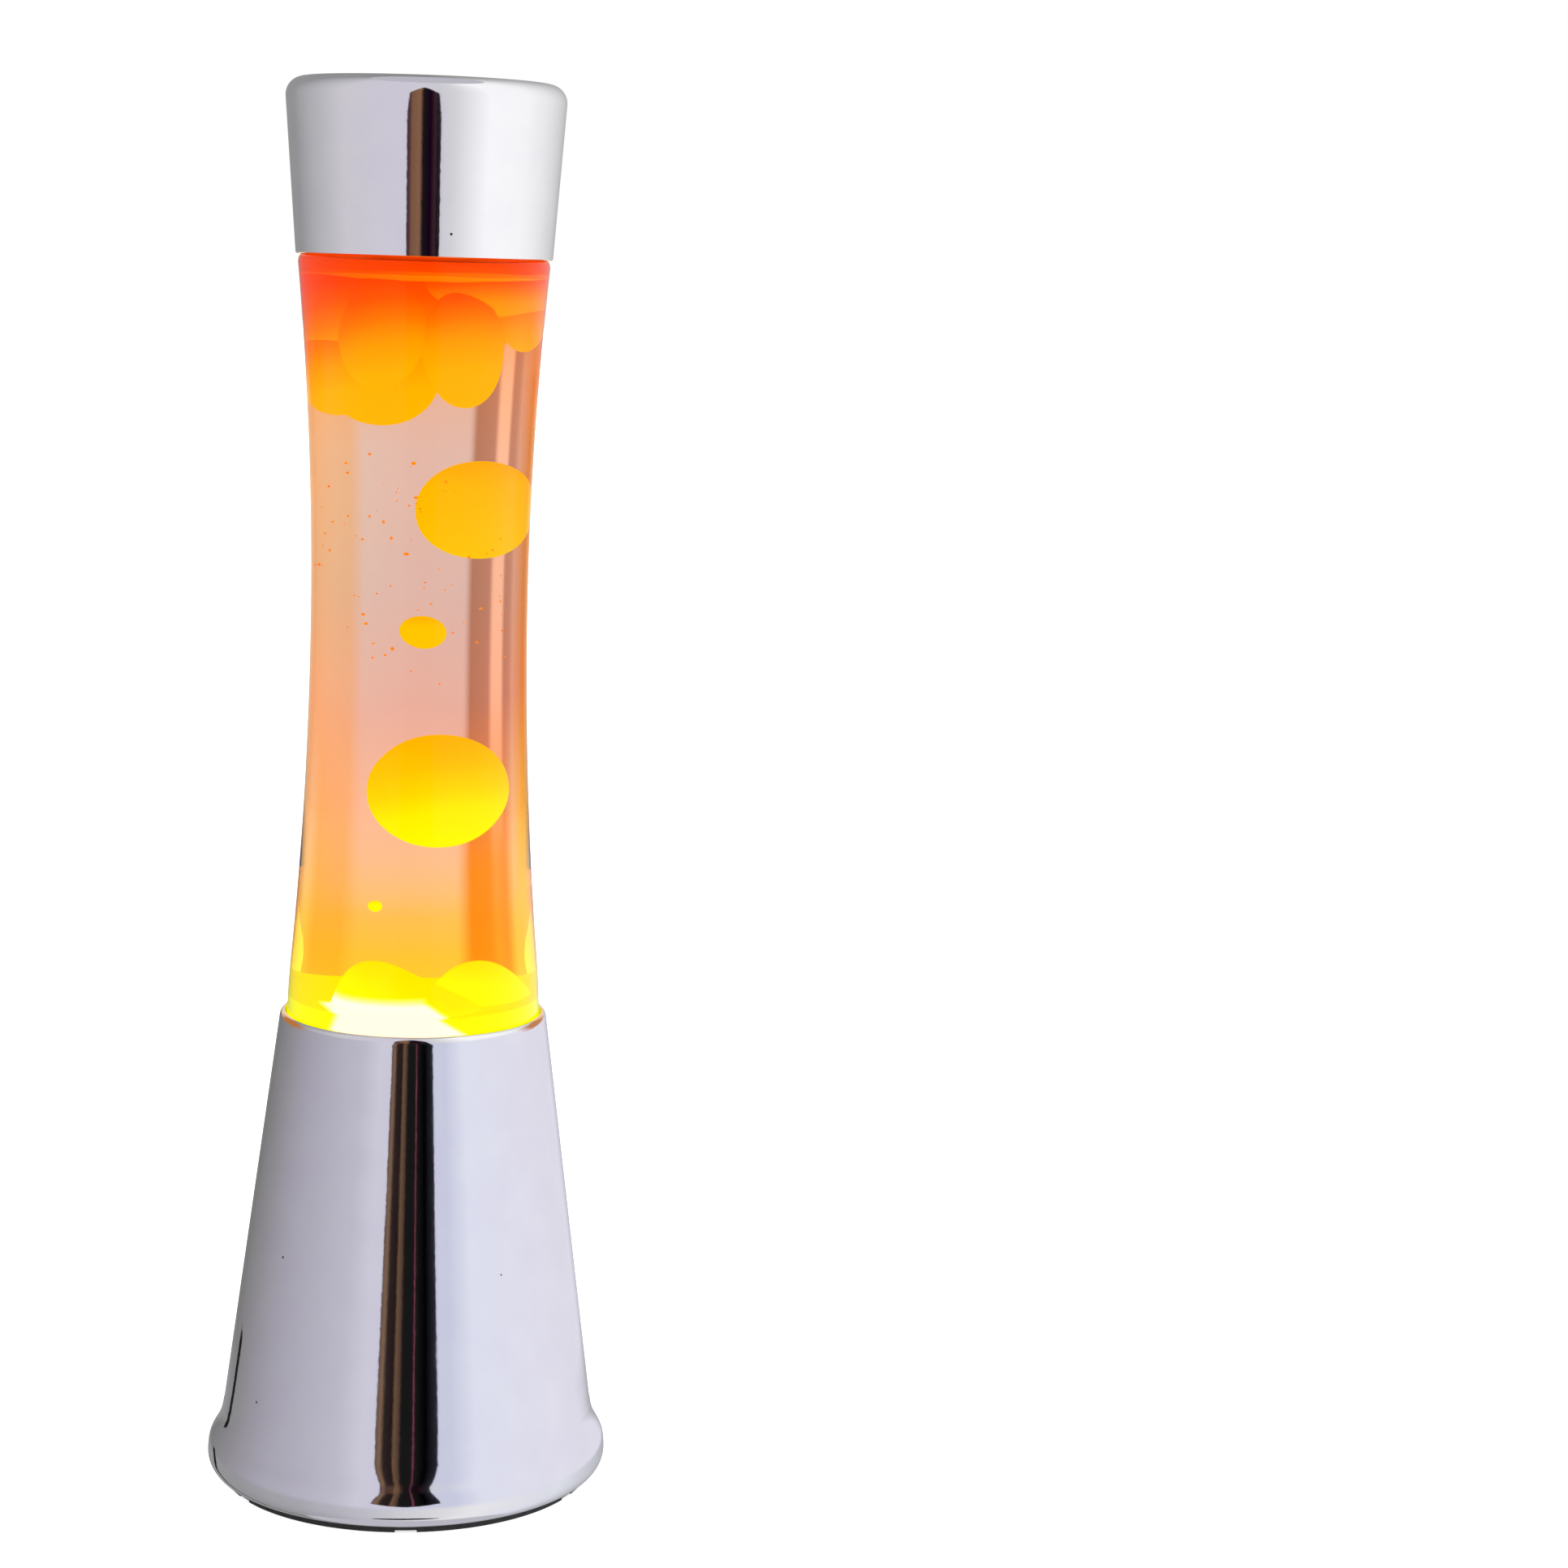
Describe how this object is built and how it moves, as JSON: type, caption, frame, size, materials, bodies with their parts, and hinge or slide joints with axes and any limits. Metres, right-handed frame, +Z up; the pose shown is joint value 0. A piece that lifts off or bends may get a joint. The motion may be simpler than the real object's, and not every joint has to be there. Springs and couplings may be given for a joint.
{
  "type": "lava lamp",
  "caption": "Table lamp with a flared chrome base, an hourglass glass bottle of clear liquid and glowing orange wax, and a chrome cap; a bulb below melts the wax.",
  "frame": {"origin": "centre of the foot, on the table", "axes": "+Z up along the lamp's axis; +Y to the back, where the cord's gland is; the front faces -Y"},
  "size_m": [0.114, 0.114, 0.395],
  "materials": {
    "chrome": "polished",
    "black_plastic": "matte",
    "black_rubber": "matte",
    "silicone": "satin",
    "zinc_steel": "satin",
    "brass": "satin",
    "holder_plastic": "satin",
    "white_plastic": "satin",
    "brown_insulation": "satin",
    "blue_insulation": "satin",
    "bulb_glass": "gloss",
    "nickel": "satin",
    "black_glass": "gloss",
    "solder": "satin",
    "filament": "satin",
    "bottle_glass": "gloss",
    "liquid": "gloss",
    "wax": "satin",
    "gold_steel": "gloss",
    "foam": "matte"
  },
  "bodies": {
    "base": {"base_shell": "chrome", "globe_seat": "black_plastic", "seat_gasket": "silicone", "bottom_plate": "black_plastic", "foot_ring": "black_rubber", "plate_brackets": "zinc_steel", "plate_screws": "zinc_steel", "holder_bracket": "zinc_steel", "bracket_screws": "zinc_steel", "bracket_nuts": "zinc_steel", "holder_nipple": "brass", "holder_nut": "brass", "holder_body": "holder_plastic", "contact_sleeve": "brass", "centre_contact": "brass", "contact_screws": "zinc_steel", "terminal_block": "white_plastic", "terminal_screws": "brass", "block_screw": "zinc_steel", "live_wire": "brown_insulation", "neutral_wire": "blue_insulation", "cord_clamp": "black_plastic", "clamp_screws": "zinc_steel", "cable_gland": "black_rubber"},
    "bulb": {"bulb_glass": "bulb_glass", "bulb_cap": "nickel", "bulb_insulator": "black_glass", "bulb_tip": "solder", "bulb_stem": "bulb_glass", "bulb_supports": "nickel", "bulb_filament": "filament"},
    "globe": {"globe_glass": "bottle_glass", "globe_liquid": "liquid", "wax_pool": "wax", "wax_top": "wax", "heat_coil": "nickel", "crown_cap": "gold_steel", "crown_liner": "white_plastic"},
    "cap": {"cap_shell": "chrome", "cap_pad": "foam"},
    "blob_upper": {"wax_blob_upper": "wax"},
    "blob_middle": {"wax_blob_middle": "wax"},
    "blob_lower": {"wax_blob_lower": "wax"},
    "droplet": {"wax_droplet": "wax"}
  },
  "joints": [
    {"name": "globe_lift", "type": "slide", "parent": "base", "child": "globe", "axis": [0, 0, 1], "range_m": [0, 0.06]},
    {"name": "cap_lift", "type": "slide", "parent": "globe", "child": "cap", "axis": [0, 0, 1], "range_m": [0, 0.06]},
    {"name": "bulb_unscrew", "type": "slide", "parent": "base", "child": "bulb", "axis": [0, 0, 1], "range_m": [0, 0.0125]},
    {"name": "upper_blob_float", "type": "slide", "parent": "globe", "child": "blob_upper", "axis": [0, 0, 1], "range_m": [-0.007, 0.006], "deforming": ["globe_liquid"]},
    {"name": "middle_blob_float", "type": "slide", "parent": "globe", "child": "blob_middle", "axis": [0, 0, 1], "range_m": [-0.006, 0.008], "deforming": ["globe_liquid"]},
    {"name": "lower_blob_float", "type": "slide", "parent": "globe", "child": "blob_lower", "axis": [0, 0, 1], "range_m": [-0.008, 0.016], "deforming": ["globe_liquid"]},
    {"name": "droplet_float", "type": "slide", "parent": "globe", "child": "droplet", "axis": [0, 0, 1], "range_m": [-0.011, 0.006], "deforming": ["globe_liquid"]}
  ]
}
